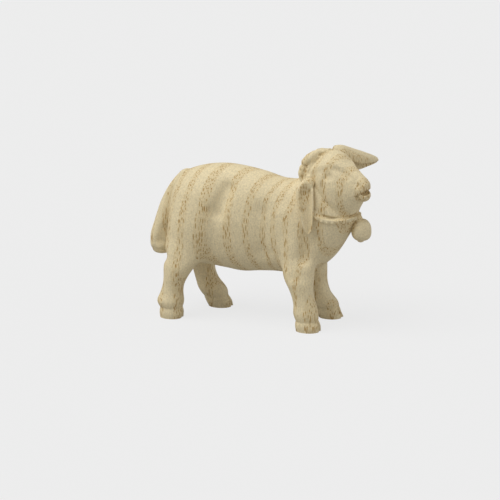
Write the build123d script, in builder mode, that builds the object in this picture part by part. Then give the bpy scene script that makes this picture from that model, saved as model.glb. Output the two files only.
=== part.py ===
from build123d import *
from math import cos, radians, sin
import os

os.makedirs("parts", exist_ok=True)

# A carved wooden sheep that stands on four hooves, with its head turned a little to its right,
# a collar round its neck and a bell at its throat. Each piece is shaped in solid wood and glued
# to the next over a dowel or a tenon.
# X runs from the tail to the nose, Y to the sheep's left and Z up. All lengths are millimetres.

# Trunk, measured from the flat glue faces on top of the legs
leg_length = 12.2
belly_clearance = 0.75
trunk_length = 35.1
trunk_depth = 29.4
trunk_width = 17.2
origin_share = 0.646

# Neck, whose sections open like a fan about a pivot over the withers
neck_reach = 29.2
neck_pivot_rise = 0.3

# Head and its round seat on the neck
seat_radius = 14.3
seat_forward = 14.6
seat_rise = 3.2
head_length = 18.0
head_depth = 17.5
head_width = 9.8
head_back = 3.0
head_drop = 5.2
head_turn = 15

# Face
mouth_height = 2.9
lip_length = 4.9
lip_width = 5.2
lip_depth = 3.4
eye_diameter = 2.4
eye_pit_diameter = 0.7
nostril_diameter = 0.9
hood_roll_diameter = 2.7
hood_lean = 18
hood_turn = -22
hood_start_turn = 10
hood_sweep = 165

# Ears
ear_length = 17.6
ear_width = 4.1
ear_thickness = 1.5
ear_tenon_diameter = 1.0
ear_tenon_share = 0.17

# Legs
leg_depth = 6.4
leg_width = 6.5
track = 14.7
cleft_width = 0.7
cleft_depth = 1.5
cleft_height = 3.0

# Tail
tail_length = 23.0
tail_width = 6.2
tail_thickness = 6.0

# Collar and bell
collar_width = 1.5
collar_thickness = 0.5
collar_drop = 0.15
collar_end_share = 0.66
bell_diameter = 5.8
bell_height = 6.2
bell_knob_diameter = 2.4
clapper_diameter = 1.8

# Dowels and the room round them for glue
leg_dowel_diameter = 2.0
leg_dowel_length = 7.0
neck_dowel_diameter = 3.0
neck_dowel_length = 12.0
tail_dowel_diameter = 2.0
tail_dowel_length = 6.0
bell_peg_diameter = 1.0
bell_peg_length = 3.4
glue_clearance = 0.05
hole_end_clearance = 0.3
overrun = 1.0

# Flat knife cuts round the body and head, round a limb or the tail, and round the hood's roll
body_cuts = 16
limb_cuts = 12
roll_cuts = 8
bead_cuts = 10

# How far up an outline is widest, round the body and on the pieces that are alike above and below
body_waist_share = 0.45
even_waist_share = 0.5

# Places on the head: ahead of its centre, to each side and above it, as shares of its length,
# width and depth
eye_shares = (-0.06, 0.375, 0.18)
eye_pit_shares = (-0.045, 0.495, 0.185)
nostril_shares = (0.55, 0.16, -0.02)
lip_shares = (0.50, 0, -0.165)
mouth_corner_shares = (0.43, -0.125)
mouth_reach_share = 0.28
mouth_floor_share = 0.28
hood_back_share = 0.315
hood_reach_shares = (0.50, 0.445)

# Where the tail and the bell sit on the body, and the bell's crown knob on the bell
tail_root_share = 0.87
tail_dowel_share = 0.48
bell_turn = 15
bell_fall_share = 0.66
bell_side_share = 0.05
bell_knob_shares = (-0.17, 0.53)
neck_joint_turn = 14

# Levels and places that follow from the sizes above
belly_height = leg_length + belly_clearance
pivot_x = (1 - origin_share) * trunk_length
pivot_z = belly_height + trunk_depth + neck_pivot_rise
seat_x = pivot_x + seat_forward
seat_z = pivot_z + seat_rise
head_x = seat_x - head_back
head_z = seat_z - head_drop

# One row for each section of the trunk from the rump to the withers: its place along the trunk,
# its lowest and highest point over the belly, and its half width
trunk_shares = [
    (0.000, 0.36, 0.60, 0.18),
    (0.015, 0.27, 0.68, 0.38),
    (0.046, 0.15, 0.79, 0.66),
    (0.108, 0.06, 0.88, 0.86),
    (0.200, 0.02, 0.94, 0.97),
    (0.323, 0.01, 0.98, 0.98),
    (0.454, 0.01, 1.00, 0.93),
    (0.608, 0.00, 0.99, 0.98),
    (0.762, 0.01, 0.96, 1.00),
    (0.915, 0.02, 0.91, 0.97),
]

# One row for each section of the neck: its turn about the pivot from straight down in degrees, its
# inner and outer reach from the pivot, and its half width
neck_shares = [
    (0, 0.100, 1.000, 0.94),
    (20, 0.095, 0.926, 0.92),
    (40, 0.090, 0.802, 0.85),
    (60, 0.085, 0.727, 0.74),
    (78, 0.080, 0.680, 0.64),
]

# One row for each section of the head: its place ahead of the head's centre, its lowest and
# highest point, its half width and how far up it is widest
head_shares = [
    (-0.540, -0.40, 0.06, 0.50, 0.5),
    (-0.470, -0.62, 0.20, 0.92, 0.45),
    (-0.360, -0.80, 0.36, 1.17, 0.42),
    (-0.210, -0.88, 0.45, 1.27, 0.40),
    (-0.030, -0.88, 0.47, 1.28, 0.39),
    (0.110, -0.76, 0.42, 1.20, 0.39),
    (0.240, -0.55, 0.31, 1.02, 0.41),
    (0.360, -0.41, 0.20, 0.78, 0.45),
    (0.480, -0.30, 0.10, 0.60, 0.50),
    (0.570, -0.19, 0.02, 0.34, 0.50),
]

# One row for each section of a limb: its height as a share of the leg, its place along the trunk,
# its half depth and half width, and how far it stands out from the middle as a share of the track
right_hind_shares = [
    (0.00, 0.073, 0.95, 0.95, 1.00),
    (0.12, 0.072, 0.98, 0.98, 1.00),
    (0.36, 0.062, 1.07, 1.07, 1.00),
    (0.56, 0.070, 0.92, 0.92, 1.00),
    (0.73, 0.082, 0.87, 0.87, 1.00),
    (0.95, 0.105, 0.98, 0.98, 0.99),
    (1.10, 0.123, 1.24, 1.02, 0.96),
    (1.40, 0.160, 1.65, 1.06, 0.86),
    (1.80, 0.195, 1.95, 1.04, 0.76),
    (2.30, 0.215, 1.90, 0.98, 0.64),
    (2.75, 0.215, 1.20, 0.66, 0.46),
]
left_hind_shares = [
    (0.00, 0.320, 1.00, 1.00, 1.00),
    (0.10, 0.305, 1.04, 1.04, 1.00),
    (0.36, 0.262, 1.08, 1.08, 1.00),
    (0.62, 0.203, 0.96, 0.96, 1.00),
    (0.82, 0.177, 0.93, 0.93, 1.00),
    (0.98, 0.165, 1.00, 1.00, 0.99),
    (1.15, 0.162, 1.28, 1.02, 0.96),
    (1.40, 0.170, 1.65, 1.06, 0.86),
    (1.80, 0.195, 1.95, 1.04, 0.76),
    (2.30, 0.215, 1.90, 0.98, 0.64),
    (2.75, 0.215, 1.20, 0.66, 0.46),
]
right_front_shares = [
    (0.00, 1.190, 1.00, 1.00, 1.00),
    (0.12, 1.185, 1.02, 1.02, 1.00),
    (0.38, 1.170, 1.04, 1.04, 1.00),
    (0.60, 1.160, 0.94, 0.94, 1.00),
    (0.78, 1.144, 0.92, 0.92, 1.00),
    (0.95, 1.130, 0.98, 0.98, 0.99),
    (1.13, 1.118, 1.14, 1.02, 0.96),
    (1.45, 1.100, 1.32, 1.04, 0.84),
    (1.90, 1.080, 1.45, 1.00, 0.68),
    (2.35, 1.070, 1.25, 0.85, 0.50),
    (2.75, 1.070, 0.80, 0.50, 0.34),
]
left_front_shares = [
    (0.00, 1.225, 1.00, 1.00, 1.00),
    (0.10, 1.205, 1.02, 1.02, 1.00),
    (0.28, 1.173, 1.04, 1.04, 1.00),
    (0.55, 1.115, 0.92, 0.92, 1.00),
    (0.78, 1.097, 0.90, 0.90, 1.00),
    (0.98, 1.092, 0.96, 0.96, 0.99),
    (1.15, 1.090, 1.10, 1.02, 0.96),
    (1.45, 1.085, 1.30, 1.04, 0.84),
    (1.90, 1.075, 1.45, 1.00, 0.68),
    (2.35, 1.070, 1.25, 0.85, 0.50),
    (2.75, 1.070, 0.80, 0.50, 0.34),
]

# One row for each section of the tail: its fall below the root and its middle's distance behind
# the rump as shares of the tail's length, and its girth
tail_shares = [
    (0.00, -0.160, 0.50),
    (0.10, -0.115, 0.79),
    (0.35, 0.000, 0.99),
    (0.59, 0.074, 1.02),
    (0.82, 0.138, 1.04),
    (0.94, 0.135, 0.85),
    (1.00, 0.125, 0.38),
]

# One row for each section of an ear: its place along the ear, its half width and half thickness
right_leaf_shares = [
    (0.00, 0.60, 1.15),
    (0.16, 0.86, 1.25),
    (0.32, 0.98, 1.10),
    (0.54, 1.00, 1.00),
    (0.76, 0.84, 0.95),
    (0.92, 0.56, 0.80),
    (1.00, 0.24, 0.45),
]
left_leaf_shares = [
    (0.00, 1.05, 1.15),
    (0.18, 1.45, 1.25),
    (0.36, 1.52, 1.15),
    (0.58, 1.30, 1.05),
    (0.80, 0.80, 0.90),
    (0.94, 0.36, 0.65),
    (1.00, 0.10, 0.30),
]
# Outline of an ear's section: across its half width and through its half thickness, first along
# the hollow face between its two rims and then round its back
ear_section_shares = [
    (1.00, 0.05), (0.80, -0.45), (0.40, -0.08), (0.00, 0.12), (-0.40, -0.08), (-0.80, -0.45),
    (-1.00, 0.05), (-0.75, 0.66), (-0.30, 0.96), (0.30, 0.96), (0.75, 0.66),
]
# The middle line of each ear from root to tip, in ear lengths from the head's centre:
# ahead of it, to its left and above it
right_ear_shares = [
    (-0.33, -0.14, 0.10), (-0.27, -0.33, 0.13), (-0.215, -0.455, -0.01),
    (-0.163, -0.505, -0.276), (-0.133, -0.528, -0.567), (-0.113, -0.538, -0.74),
]
left_ear_shares = [(-0.16, 0.13, 0.37), (-0.105, 0.42, 0.245), (-0.03, 0.76, 0.115), (0.046, 1.074, 0.061)]

# The way that each ear's hollow faces: ahead, to the sheep's left and up
right_ear_face = (0.35, -1, 0.1)
left_ear_face = (0.75, -0.45, -0.5)

# One row for each section of a bead, a rounded lump: its place from end to end and its girth
bead_shares = [(-1.0, 0.35), (-0.75, 0.72), (0.0, 1.00), (0.75, 0.72), (1.0, 0.35)]

# One row for each section of the bell: its height from the rim at -1 to the crown at 1, and its girth
bell_shares = [(-1.00, 0.72), (-0.72, 0.94), (-0.28, 1.00), (0.32, 0.92), (0.80, 0.62), (1.00, 0.30)]


def upright(x, z, turn=0):
    """A plane square to the body, leaning forward by a turn in degrees: its X is the sheep's left."""
    return Plane(origin=(x, 0, z), x_dir=(0, 1, 0), z_dir=(cos(radians(turn)), 0, sin(radians(turn))))


def knife_cuts(half_width, low, high, sides, waist_share=body_waist_share):
    """Corners of an egg-shaped outline of flat knife cuts that touch its full height and width."""
    waist = low + (high - low) * waist_share
    half_turn = radians(180 / sides)
    corners = []
    for step in range(sides):
        turn = half_turn * (2 * step + 1)
        rise = high - waist if sin(turn) > 0 else waist - low
        across = half_width * cos(turn) / cos(half_turn)
        corners.append((across, waist + rise * sin(turn) / cos(half_turn)))
    return corners


def outline(plane, corners):
    """The corners of an outline in a plane, as points in space."""
    return [plane.from_local_coords(Vector(across, up, 0)) for across, up in corners]


def carve(outlines):
    """A solid with flat knife cuts, two between each corner and the next from outline to outline."""
    cuts = []
    for first, second in zip(outlines, outlines[1:]):
        for step in range(len(first)):
            after = (step + 1) % len(first)
            cuts.append(Face(Wire.make_polygon([first[step], first[after], second[after]])))
            cuts.append(Face(Wire.make_polygon([first[step], second[after], second[step]])))
    for end in (outlines[0], outlines[-1]):
        cuts.append(Face(Wire.make_polygon(end)))
    return Solid(Shell(cuts))


def lump(plane, rows, length, width, depth, cuts):
    """A rounded lump along a plane's Z, centred on it: like outlines, each scaled by its girth."""
    outlines = []
    for along, girth in rows:
        half_depth = depth / 2 * girth
        corners = knife_cuts(width / 2 * girth, -half_depth, half_depth, cuts, even_waist_share)
        outlines.append(outline(plane.offset(length / 2 * along), corners))
    return carve(outlines)


# The torso with its neck is the form that trunk, collar, tail and legs are all fitted to.
def torso_outlines(skin=0.0):
    """Every outline of the torso, each grown on all sides by a skin."""
    outlines = []
    for along, low, high, wide in trunk_shares:
        x = (along - origin_share) * trunk_length
        half_width = trunk_width / 2 * wide + skin
        corners = knife_cuts(half_width, trunk_depth * low - skin, trunk_depth * high + skin, body_cuts)
        outlines.append(outline(upright(x, belly_height), corners))
    for turn, near, far, wide in neck_shares:
        half_width = trunk_width / 2 * wide + skin
        corners = knife_cuts(half_width, -neck_reach * far - skin, -neck_reach * near + skin, body_cuts)
        outlines.append(outline(upright(pivot_x, pivot_z, turn), corners))
    return outlines


with BuildPart() as torso:
    add(carve(torso_outlines()))

with BuildPart() as torso_with_skin:
    add(carve(torso_outlines(skin=collar_thickness)))

# The head sits in a round cope across the neck, like a log in a saddle.
seat_plane = Plane(origin=(seat_x, 0, seat_z), x_dir=(1, 0, 0), z_dir=(0, 1, 0))
with BuildPart() as seat:
    with BuildSketch(seat_plane):
        Circle(seat_radius)
    extrude(amount=trunk_width, both=True)


# Limbs: each is one form from the sole to the flank, parted at the flat glue face
def limb(shares, side):
    """One limb from its sole up into the flank, on the left for side 1 and the right for -1."""
    outlines = []
    for high, along, deep, wide, out in shares:
        x = (along - origin_share) * trunk_length
        half_width = leg_width / 2 * wide
        corners = knife_cuts(leg_depth / 2 * deep, -half_width, half_width, limb_cuts, even_waist_share)
        outlines.append(outline(Plane(origin=(x, side * out * track / 2, leg_length * high)), corners))
    return carve(outlines)


limbs = {
    "right_hind_leg": (right_hind_shares, -1),
    "left_hind_leg": (left_hind_shares, 1),
    "right_front_leg": (right_front_shares, -1),
    "left_front_leg": (left_front_shares, 1),
}
limb_forms = {name: limb(*form) for name, form in limbs.items()}


def leg_axis(shares, side):
    """The place of a leg's dowel, in the middle of its glue face."""
    high, along, deep, wide, out = min(shares, key=lambda row: abs(row[0] - 1))
    return ((along - origin_share) * trunk_length, side * out * track / 2)


leg_axes = {name: leg_axis(*form) for name, form in limbs.items()}
glue_face = Plane.XY.offset(leg_length)

# Joints between the pieces: each plane lies in a joint, with its Z along the dowel
neck_joint = Plane(
    origin=(
        seat_x - seat_radius * sin(radians(neck_joint_turn)),
        0,
        seat_z - seat_radius * cos(radians(neck_joint_turn)),
    ),
    z_dir=(sin(radians(neck_joint_turn)), 0, cos(radians(neck_joint_turn))),
)
rump_x = -origin_share * trunk_length
tail_root_z = belly_height + trunk_depth * tail_root_share
tail_joint = Plane(origin=(rump_x, 0, belly_height + trunk_depth * tail_dowel_share), z_dir=(-1, 0, 0))
collar_radius = seat_radius + collar_drop + collar_width / 2
bell_x = seat_x + collar_radius * sin(radians(bell_turn))
bell_y = bell_diameter * bell_side_share
bell_z = seat_z - collar_radius * cos(radians(bell_turn)) - bell_height * bell_fall_share
bell_joint = Plane(origin=(bell_x - bell_diameter / 2, bell_y, bell_z), z_dir=(1, 0, 0))


def dowel(plane, diameter, length):
    """A round dowel, half on each side of a joint."""
    with BuildPart(plane) as pin:
        Cylinder(diameter / 2, length)
    return pin.part


def dowel_hole(plane, diameter, length):
    """The drilled space round a dowel, with room for glue."""
    with BuildPart(plane) as space:
        Cylinder(diameter / 2 + glue_clearance, length + 2 * hole_end_clearance)
    return space.part


leg_dowel_planes = [Plane(origin=(x, y, leg_length)) for x, y in leg_axes.values()]
leg_dowels = [dowel(plane, leg_dowel_diameter, leg_dowel_length) for plane in leg_dowel_planes]
leg_holes = [dowel_hole(plane, leg_dowel_diameter, leg_dowel_length) for plane in leg_dowel_planes]
neck_dowel = dowel(neck_joint, neck_dowel_diameter, neck_dowel_length)
neck_hole = dowel_hole(neck_joint, neck_dowel_diameter, neck_dowel_length)
tail_dowel = dowel(tail_joint, tail_dowel_diameter, tail_dowel_length)
tail_hole = dowel_hole(tail_joint, tail_dowel_diameter, tail_dowel_length)
bell_peg = dowel(bell_joint, bell_peg_diameter, bell_peg_length)
bell_peg_hole = dowel_hole(bell_joint, bell_peg_diameter, bell_peg_length)

# Head in its own turned frame: local X to the sheep's left, local Y up, local Z ahead
head_frame = Plane(
    origin=(head_x, 0, head_z),
    x_dir=(sin(radians(head_turn)), cos(radians(head_turn)), 0),
    z_dir=(cos(radians(head_turn)), -sin(radians(head_turn)), 0),
)


def head_point(ahead, left, up):
    """A point given in the head's own frame."""
    return head_frame.from_local_coords(Vector(left, up, ahead))


def ear_form(line_shares, leaf_shares, face):
    """Carves a hollow leaf along its middle line, with its hollow turned to a face direction."""
    points = []
    for ahead, left, up in line_shares:
        points.append(head_point(ahead * ear_length, left * ear_length, up * ear_length))
    line = Spline(*points, mode=Mode.PRIVATE)
    outlines = []
    for along, wide, thick in leaf_shares:
        tangent = line % along
        across = tangent.cross(Vector(*face)).normalized()
        half_width = ear_width / 2 * wide
        half_thick = ear_thickness / 2 * thick
        corners = [(half_width * side, half_thick * through) for side, through in ear_section_shares]
        outlines.append(outline(Plane(origin=line @ along, x_dir=across, z_dir=tangent), corners))
    return carve(outlines), line @ 0, line @ ear_tenon_share


right_ear_form, *right_tenon_ends = ear_form(right_ear_shares, right_leaf_shares, right_ear_face)
left_ear_form, *left_tenon_ends = ear_form(left_ear_shares, left_leaf_shares, left_ear_face)


def tenon(start, end, clearance=0.0, end_clearance=0.0):
    """A round tenon from inside the head out into the ear, or its socket."""
    with BuildPart(Plane(origin=start, z_dir=end - start).offset(-end_clearance)) as pin:
        Cylinder(
            ear_tenon_diameter / 2 + clearance,
            (end - start).length + end_clearance,
            align=(Align.CENTER, Align.CENTER, Align.MIN),
        )
    return pin.part


def head_place(shares, side=1):
    """A point of the head given as shares of its length, width and depth."""
    ahead, left, up = shares
    return head_point(head_length * ahead, side * head_width * left, head_depth * up)


# Collar: a band on the neck just under the cope, with its ends tucked behind the ears
collar_end = Plane(origin=(seat_x - seat_radius * collar_end_share, 0, 0), z_dir=(1, 0, 0))
with BuildPart() as collar:
    add(torso_with_skin.part)
    with BuildSketch(seat_plane):
        Circle(seat_radius + collar_drop + collar_width)
    extrude(amount=trunk_width, both=True, mode=Mode.INTERSECT)
    with BuildSketch(seat_plane):
        Circle(seat_radius + collar_drop)
    extrude(amount=trunk_width, both=True, mode=Mode.SUBTRACT)
    add(torso.part, mode=Mode.SUBTRACT)
    split(bisect_by=collar_end, keep=Keep.TOP)

# Hood: the rolled edge of the wool, from ear to ear over the crown
hood_plane = head_frame.moved(Location((0, 0, -head_length * hood_back_share), (hood_lean, hood_turn, 0)))
hood_side_share, hood_rise_share = hood_reach_shares
hood_line = hood_plane.location * EllipticalCenterArc(
    (0, 0), head_width * hood_side_share, head_depth * hood_rise_share,
    start_angle=hood_start_turn, arc_size=hood_sweep, mode=Mode.PRIVATE,
)
hood_outlines = []
for step in range(body_cuts + 1):
    along = step / body_cuts
    roll_radius = hood_roll_diameter / 2
    section_plane = Plane(origin=hood_line @ along, x_dir=hood_plane.z_dir, z_dir=hood_line % along)
    corners = knife_cuts(roll_radius, -roll_radius, roll_radius, roll_cuts, even_waist_share)
    hood_outlines.append(outline(section_plane, corners))

# Skull: the head's solid form before its face is cut
skull_outlines = []
for along, low, high, wide, waist in head_shares:
    corners = knife_cuts(head_width / 2 * wide, head_depth * low, head_depth * high, body_cuts, waist)
    skull_outlines.append(outline(head_frame.offset(head_length * along), corners))

with BuildPart() as skull:
    add(carve(skull_outlines))
    add(carve(hood_outlines))
    # The cope that sits on the neck
    add(seat.part, mode=Mode.INTERSECT)

with BuildPart() as head:
    add(skull.part)
    # Lower lip, eyes with their pupils, and nostrils
    lip_plane = Plane(origin=head_place(lip_shares), x_dir=head_frame.x_dir, z_dir=head_frame.z_dir)
    add(lump(lip_plane, bead_shares, lip_length, lip_width, lip_depth, bead_cuts))
    for side in (-1, 1):
        eye_plane = Plane(origin=head_place(eye_shares, side), z_dir=head_frame.x_dir)
        add(lump(eye_plane, bead_shares, eye_diameter, eye_diameter, eye_diameter, bead_cuts))
    for side in (-1, 1):
        with Locations(Plane(origin=head_place(eye_pit_shares, side), z_dir=head_frame.x_dir)):
            Cylinder(eye_pit_diameter / 2, eye_pit_diameter, mode=Mode.SUBTRACT)
        with Locations(Plane(origin=head_place(nostril_shares, side), z_dir=head_frame.z_dir)):
            Cylinder(nostril_diameter / 2, nostril_diameter, mode=Mode.SUBTRACT)
    # Open mouth, a wedge from its corners to the front
    mouth_corner = (head_length * mouth_corner_shares[0], head_depth * mouth_corner_shares[1])
    mouth_front = mouth_corner[0] + head_length * mouth_reach_share
    mouth_plane = Plane(origin=head_frame.origin, x_dir=head_frame.z_dir, z_dir=head_frame.x_dir * -1)
    with BuildSketch(mouth_plane):
        with BuildLine():
            Polyline(
                mouth_corner,
                (mouth_front, mouth_corner[1] + mouth_height * mouth_floor_share),
                (mouth_front, mouth_corner[1] + mouth_height),
                close=True,
            )
        make_face()
    extrude(amount=head_width, both=True, mode=Mode.SUBTRACT)
    add(neck_hole, mode=Mode.SUBTRACT)
    for ends in (right_tenon_ends, left_tenon_ends):
        add(tenon(*ends, glue_clearance, hole_end_clearance), mode=Mode.SUBTRACT)

with BuildPart() as trunk:
    add(torso.part)
    for name in limbs:
        add(split(limb_forms[name], bisect_by=glue_face, keep=Keep.TOP, mode=Mode.PRIVATE))
    add(seat.part, mode=Mode.SUBTRACT)
    for space in (*leg_holes, neck_hole, tail_hole, bell_peg_hole):
        add(space, mode=Mode.SUBTRACT)

pieces = {"trunk": trunk.part, "head": head.part}

# Legs with cloven hooves
for name, (shares, side) in limbs.items():
    toe_x = (shares[0][1] - origin_share) * trunk_length + leg_depth / 2 * shares[0][2]
    with BuildPart() as leg:
        add(split(limb_forms[name], bisect_by=glue_face, keep=Keep.BOTTOM, mode=Mode.PRIVATE))
        for space in leg_holes:
            add(space, mode=Mode.SUBTRACT)
        with BuildSketch(Plane(origin=(toe_x, side * shares[0][4] * track / 2, 0))):
            with BuildLine():
                Polyline(
                    (-cleft_depth, 0),
                    (0, cleft_width / 2),
                    (overrun, cleft_width / 2),
                    (overrun, -cleft_width / 2),
                    (0, -cleft_width / 2),
                    close=True,
                )
            make_face()
        extrude(amount=cleft_height, mode=Mode.SUBTRACT)
    pieces[name] = leg.part

for name, form, ends in (
    ("right_ear", right_ear_form, right_tenon_ends),
    ("left_ear", left_ear_form, left_tenon_ends),
):
    with BuildPart() as ear:
        add(form)
        for neighbour in (skull, torso, collar):
            add(neighbour.part, mode=Mode.SUBTRACT)
        add(ear.solids().sort_by(SortBy.VOLUME)[-1], mode=Mode.REPLACE)
        add(tenon(*ends))
    pieces[name] = ear.part

tail_outlines = []
for fall, behind, girth in tail_shares:
    half_width = tail_width / 2 * girth
    corners = knife_cuts(tail_thickness / 2 * girth, -half_width, half_width, limb_cuts, even_waist_share)
    section_origin = (rump_x - behind * tail_length, 0, tail_root_z - fall * tail_length)
    tail_outlines.append(outline(Plane(origin=section_origin), corners))

with BuildPart() as tail:
    add(carve(tail_outlines))
    add(torso.part, mode=Mode.SUBTRACT)
    add(tail_hole, mode=Mode.SUBTRACT)
pieces["tail"] = tail.part

with BuildPart() as bell:
    bell_plane = Plane(origin=(bell_x, bell_y, bell_z))
    add(lump(bell_plane, bell_shares, bell_height, bell_diameter, bell_diameter, body_cuts))
    knob_ahead_share, knob_high_share = bell_knob_shares
    knob_x = bell_x + bell_diameter * knob_ahead_share
    knob_plane = Plane(origin=(knob_x, bell_y, bell_z + bell_height * knob_high_share))
    knob_sizes = (bell_knob_diameter, bell_knob_diameter, bell_knob_diameter)
    add(lump(knob_plane, bead_shares, *knob_sizes, bead_cuts))
    clapper_plane = bell_plane.offset(-bell_height / 2)
    clapper_sizes = (clapper_diameter, clapper_diameter, clapper_diameter)
    add(lump(clapper_plane, bead_shares, *clapper_sizes, bead_cuts))
    add(torso.part, mode=Mode.SUBTRACT)
    add(collar.part, mode=Mode.SUBTRACT)
    add(bell_peg_hole, mode=Mode.SUBTRACT)
pieces["bell"] = bell.part

pieces["collar"] = collar.part
pieces["neck_dowel"] = neck_dowel
pieces["tail_dowel"] = tail_dowel
pieces["bell_peg"] = bell_peg
pieces["leg_dowels"] = Compound(children=leg_dowels)

# The origin goes to the middle of the floor that the figure covers.
bounds = Compound(children=[Part(piece.wrapped) for piece in pieces.values()]).bounding_box()
to_middle = Location((-bounds.center().X, -bounds.center().Y, 0))
print(f"middle of the floor: {bounds.center().X:.3f} {bounds.center().Y:.3f}")
for name, piece in pieces.items():
    placed = piece.moved(to_middle)
    placed.label = name
    export_step(placed, f"parts/{name}.step")
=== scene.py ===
import math

import bmesh
import bpy
import numpy as np
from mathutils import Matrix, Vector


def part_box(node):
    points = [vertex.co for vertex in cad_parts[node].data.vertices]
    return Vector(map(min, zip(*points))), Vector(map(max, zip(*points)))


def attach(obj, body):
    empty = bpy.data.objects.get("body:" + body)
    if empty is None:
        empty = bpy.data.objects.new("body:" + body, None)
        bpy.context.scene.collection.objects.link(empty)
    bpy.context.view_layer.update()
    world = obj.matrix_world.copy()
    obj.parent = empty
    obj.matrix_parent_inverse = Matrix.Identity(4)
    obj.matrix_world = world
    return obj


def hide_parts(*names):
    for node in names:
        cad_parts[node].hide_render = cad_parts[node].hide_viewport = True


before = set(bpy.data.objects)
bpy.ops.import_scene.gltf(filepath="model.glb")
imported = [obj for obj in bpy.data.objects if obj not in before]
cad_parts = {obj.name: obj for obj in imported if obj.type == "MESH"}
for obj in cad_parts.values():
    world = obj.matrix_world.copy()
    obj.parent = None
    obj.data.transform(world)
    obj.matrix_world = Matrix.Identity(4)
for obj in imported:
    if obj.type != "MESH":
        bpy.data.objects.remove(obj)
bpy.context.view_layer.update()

import openvdb

# A carved wooden sheep. The forms are worked out in the carver's own frame in millimetres: X runs
# from the tail to the nose, Y to the sheep's left and Z up, with the middle of the hooves at zero.
# The tail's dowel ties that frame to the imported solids.
MM = 0.001
TRUNK_LENGTH = 35.1
ORIGIN_SHARE = 0.646
TRUNK_DEPTH = 29.4
TRUNK_WIDTH = 17.2
LEG_LENGTH = 12.2
BELLY_HEIGHT = 12.95
NECK_REACH = 29.2
LEG_DEPTH = 6.4
LEG_WIDTH = 6.5
TRACK = 14.7
# The point that the neck's sections fan round, the middle of the round seat under the head, both as
# X and Z, and the middle of the head with its turn to the right in degrees
PIVOT = (12.43, 42.65)
SEAT = (27.03, 45.85)
SEAT_RADIUS = 14.3
HEAD = (24.03, 0.0, 40.65)
HEAD_TURN = 15
# How full a section is, where 2 is an ellipse and more is squarer, and how far up it is widest
BODY_FULLNESS = 2.15
LIMB_FULLNESS = 2.2
FACE_FULLNESS = 2.25
BELL_FULLNESS = 2.5
BODY_WAIST_SHARE = 0.47
MIDDLE_SHARE = 0.5
BELL_WAIST_SHARE = 0.45
# How far two forms melt into each other, and how round an edge is left
NECK_MELT = 5.0
LIMB_MELT = {"hind": 2.6, "front": 2.2}
HEAD_MELT = 0.4
BELL_MELT = 0.5
RUMP_ROUND = 0.6
LIMB_TOP_ROUND = 1.5
LIMB_TOP_SHARE = 2.72
TAIL_TIP_ROUND = 0.5
TAIL_ROOT_ROUND = 1.0
# The rump starts a little behind the trunk's own length
RUMP_SHARE = 0.004
# The crease over a hoof: its height, depth and width. The cleft at its toe: depth, half length,
# half width, the height where it ends and how far it fades below that
HOOF_CREASE = (2.75, 0.13, 0.4)
CLEFT = (0.9, 1.1, 0.34, 3.6, 1.2)
# The neck ends under the jaw at a sloping plane: a point on it, its direction and its rounding
NECK_END = (12.0, 43.6)
NECK_END_SLOPE = (0.385, 0.923)
NECK_END_ROUND = 1.2
# The face's middle, its reach to both ends and their rounding
FACE_MIDDLE = 0.75
FACE_REACH = 10.15
FACE_END_ROUND = 0.5
# The mouth: where its corner lies, its height there, its rise and curve ahead of it. The jaw's
# front below it, the height of its top and its step forward.
MOUTH_CORNER = 7.9
MOUTH_HEIGHT = -2.72
MOUTH_RISE = 0.30
MOUTH_CURVE = 0.12
MOUTH_EDGE_ROUND = 0.12
JAW_FRONT = 7.8
JAW_TOP = -2.6
JAW_STEP = 0.7
# The lower lip and the cup in it: middle and half sizes
LIP = ((9.40, -0.05, -2.80), (1.80, 1.95, 1.75))
LIP_CUP = ((10.0, -0.55, -1.85), (1.25, 1.50, 0.85))
LIP_EDGE_ROUND = 0.25
# Each hood lock swells by this share at its middle, where its ripple turns by this angle in all
LOCK_SWELL_SHARE = 0.08
LOCK_TURN = 6.3
# A point on the jaw's edge and the direction behind it, as ahead and up. The neck's depth under the
# cheeks, and how far out to each side that starts.
JAW_POINT = (-3.1, -0.6)
BEHIND_JAW = (-0.80, -0.60)
CHEEK_DEPTH = 0.8
CHEEK_START = 1.6
# The wool behind the jaw: depth, height of its rows, their pace, how far it takes to reach its
# depth, its upper end and how far it fades there, and how far it fades at the seat
WOOL_DEPTH = 0.34
WOOL_ROW_HEIGHT = 0.05
WOOL_ROW_PACE = 5.6
WOOL_SPAN = 2.6
WOOL_TOP = 1.0
WOOL_TOP_SPAN = 2.5
WOOL_SEAT_SPAN = 0.5
# The groove along the seat: depth and width, where it starts and how far it takes
SEAT_GROOVE = (0.75, 0.34)
GROOVE_START = 21.4
GROOVE_SPAN = 2.0
# The block that the seat is cut with: its sides and its reach to each side
SEAT_SIDES = 128
SEAT_REACH = 20.0
# How near a face lies to a joint's surface to count as part of it, and how square to it
SEAT_NEAR = 0.02
GLUE_NEAR = 0.01
# Sampled boxes and steps. A leg's piece of the body is kept within this reach of its axis.
BODY_BOX = ((-25.5, -11.6, -0.6), (34.2, 11.6, 46.5), 0.24)
HEAD_BOX = ((9.5, -8.5, 28.5), (36.5, 9.5, 51.0), 0.14)
TAIL_BOX = ((-30.5, -4.5, 13.5), (-14.5, 4.5, 41.5), 0.2)
COLLAR_BOX = ((15.5, -9.0, 25.5), (34.5, 9.0, 38.0), 0.12)
BELL_BOX = ((27.0, -4.0, 22.0), (35.5, 4.5, 32.5), 0.12)
LEG_KEEP = 7.4
# Sampled rings and sides of an ear, and how its full root opens: its start and its pace along it
EAR_RINGS = 150
EAR_SIDES = 112
ROOT_SHUT = 1.75
ROOT_OPENING = 4.5
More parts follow.
